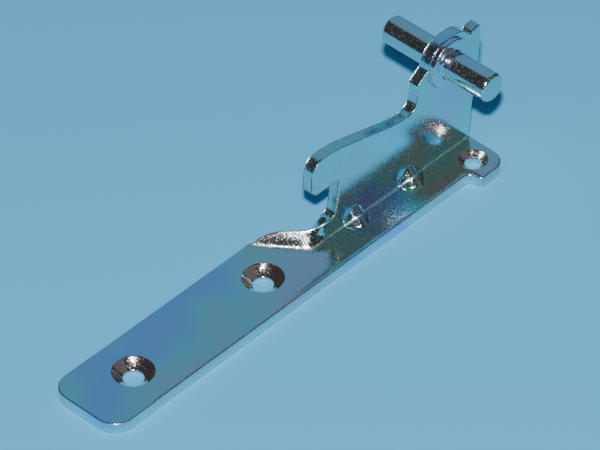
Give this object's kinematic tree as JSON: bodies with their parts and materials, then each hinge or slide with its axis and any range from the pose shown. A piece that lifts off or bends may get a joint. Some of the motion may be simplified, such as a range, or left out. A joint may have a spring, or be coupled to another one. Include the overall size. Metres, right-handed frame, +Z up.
{
  "type": "window stay bracket",
  "caption": "Folded steel window stay bracket: a screw-down flange with an upright hook and a collared round cross pin through its head.",
  "frame": {"origin": "axis of the first screw hole, counted from the flange's free end, at the face that lies on the timber", "axes": "+X along the flange towards the lug and the pin, +Y to the flange's wide side, along the pin, +Z up out of the timber"},
  "size_m": [0.1085, 0.0266, 0.0308],
  "materials": {
    "bracket": "bright zinc plate with a clear blue passivate",
    "pivot_pin": "turned steel, bright zinc plate with a clear blue passivate"
  },
  "bodies": {
    "root": {"bracket": "bracket", "pivot_pin": "pivot_pin"}
  },
  "joints": []
}
